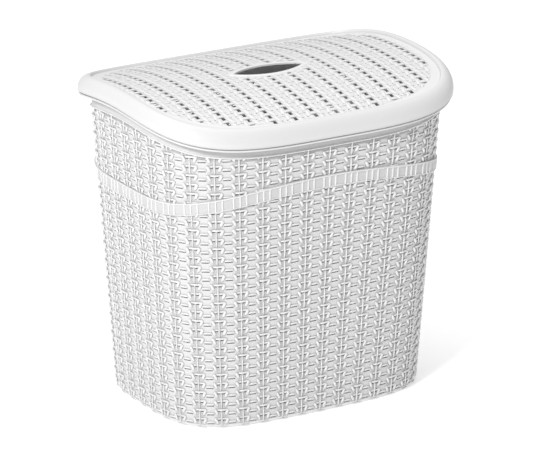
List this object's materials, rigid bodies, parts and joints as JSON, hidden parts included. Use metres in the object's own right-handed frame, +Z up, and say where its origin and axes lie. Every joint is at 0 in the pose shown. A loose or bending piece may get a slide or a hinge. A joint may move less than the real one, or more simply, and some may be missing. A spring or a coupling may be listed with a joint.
{
  "type": "laundry hamper with lid",
  "caption": "Tapering moulded basket with a round-cornered plan, a belt and an arched rim, closed by a lift-off arched lid with a finger slot.",
  "frame": {"origin": "middle of the foot's box, on the floor", "axes": "+Z up, +X to the right, +Y to the nearly flat back; the bowed front faces -Y"},
  "size_m": [0.44, 0.33, 0.4217],
  "materials": {
    "basket_plastic": "satin injection-moulded polypropylene, white, in a knitted relief",
    "lid_plastic": "satin injection-moulded polypropylene, white, smooth rolled edge and knitted panel"
  },
  "bodies": {
    "basket": {"basket": "basket_plastic"},
    "lid": {"lid": "lid_plastic"}
  },
  "joints": [
    {"name": "lid_lift", "type": "slide", "parent": "basket", "child": "lid", "axis": [0, 0, 1], "range_m": [0, 0.12]}
  ]
}
